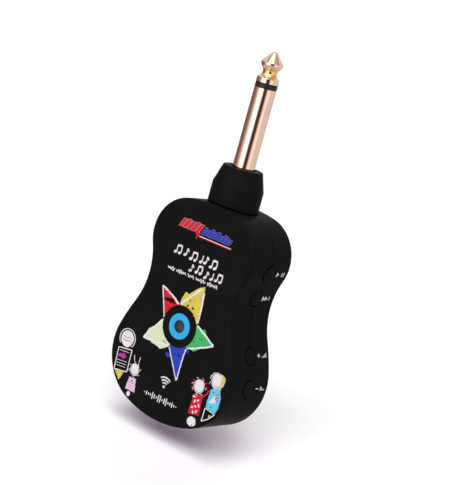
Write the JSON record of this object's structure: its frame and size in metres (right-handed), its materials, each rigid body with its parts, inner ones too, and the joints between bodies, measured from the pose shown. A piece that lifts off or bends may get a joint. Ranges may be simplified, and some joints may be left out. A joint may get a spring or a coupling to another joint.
{
  "type": "wireless guitar transmitter",
  "caption": "Guitar-shaped black clamshell with a fixed 6.35 mm gold jack plug, side push buttons, a front status light in a colour star and a charging socket",
  "frame": {"origin": "centre of the neck's top face, on the plug's axis, where the plug leaves the housing", "axes": "+Z along the plug to its tip, -Y out of the printed front face, +Y out of the rear face, +X to the button side"},
  "size_m": [0.0444, 0.0186, 0.1089],
  "materials": {
    "shell_black": "soft-touch coated ABS, very fine grain",
    "button_black": "smooth moulded plastic",
    "plug_gold": "polished rose-gold plating",
    "tip_gold": "polished gold plating, a little yellower than the sleeve",
    "ring_black": "moulded insulator, satin",
    "nylon_white": "natural nylon",
    "tinned_brass": "tinned, satin",
    "screw_steel": "blackened machine screw",
    "board_green": "solder mask on glass epoxy",
    "tin_plate": "tinned sheet",
    "ceramic_white": "ceramic body",
    "chip_black": "moulded package",
    "capacitor_brown": "ceramic chips",
    "lens_grey": "smoked light-pipe plastic",
    "battery_foil": "laminated pouch foil",
    "protection_tape": "amber film",
    "foam_white": "foam tape",
    "wire_red": "insulated lead",
    "wire_black": "insulated lead",
    "wire_white": "insulated lead",
    "ink_white": "screen-printed ink",
    "ink_red": "screen-printed ink",
    "ink_yellow": "screen-printed ink",
    "ink_green": "screen-printed ink",
    "ink_blue": "screen-printed ink",
    "ink_sky_blue": "screen-printed ink",
    "ink_pale_green": "screen-printed ink",
    "ink_pink": "screen-printed ink",
    "ink_magenta": "screen-printed ink",
    "ink_cyan": "screen-printed ink"
  },
  "bodies": {
    "housing": {"audio_codec": "chip_black", "battery_cell": "battery_foil", "battery_connector": "nylon_white", "battery_foam_tape": "foam_white", "battery_protection_board": "protection_tape", "battery_wire_black": "wire_black", "battery_wire_red": "wire_red", "board_screws": "screw_steel", "capacitors": "capacitor_brown", "case_screws": "screw_steel", "charger_chip": "chip_black", "charging_socket_shell": "tin_plate", "charging_socket_tongue": "chip_black", "chip_antenna": "ceramic_white", "crystal": "tin_plate", "flank_switch": "chip_black", "front_shell": "shell_black", "ground_wire": "wire_black", "light_pipe": "lens_grey", "lower_switch": "chip_black", "main_board": "board_green", "microcontroller": "chip_black", "plug_core_insulator": "nylon_white", "plug_ground_lug": "tinned_brass", "plug_insulator_ring": "ring_black", "plug_rear_insulator": "nylon_white", "plug_sleeve": "plug_gold", "plug_tip": "tip_gold", "plug_tip_lug": "tinned_brass", "power_inductor": "chip_black", "rear_shell": "shell_black", "resistors": "chip_black", "rf_shield": "tin_plate", "signal_wire": "wire_white", "status_led": "ceramic_white", "upper_switch": "chip_black", "waist_switch": "chip_black"},
    "upper_button": {"upper_button": "button_black", "upper_switch_plunger": "nylon_white"},
    "waist_button": {"waist_button": "button_black", "waist_switch_plunger": "nylon_white"},
    "flank_button": {"flank_button": "button_black", "flank_switch_plunger": "nylon_white"},
    "lower_button": {"lower_button": "button_black", "lower_switch_plunger": "nylon_white"}
  },
  "joints": [
    {"name": "upper_button_press", "type": "slide", "parent": "housing", "child": "upper_button", "axis": [-0.9846, 0, 0.1749], "range_m": [0, 0.00035], "stiffness_N_per_m": 3000},
    {"name": "waist_button_press", "type": "slide", "parent": "housing", "child": "waist_button", "axis": [-0.9909, 0, 0.1346], "range_m": [0, 0.00035], "stiffness_N_per_m": 3000},
    {"name": "flank_button_press", "type": "slide", "parent": "housing", "child": "flank_button", "axis": [-0.9262, 0, -0.377], "range_m": [0, 0.00035], "stiffness_N_per_m": 3000},
    {"name": "lower_button_press", "type": "slide", "parent": "housing", "child": "lower_button", "axis": [-0.9993, 0, -0.0376], "range_m": [0, 0.00035], "stiffness_N_per_m": 3000}
  ]
}
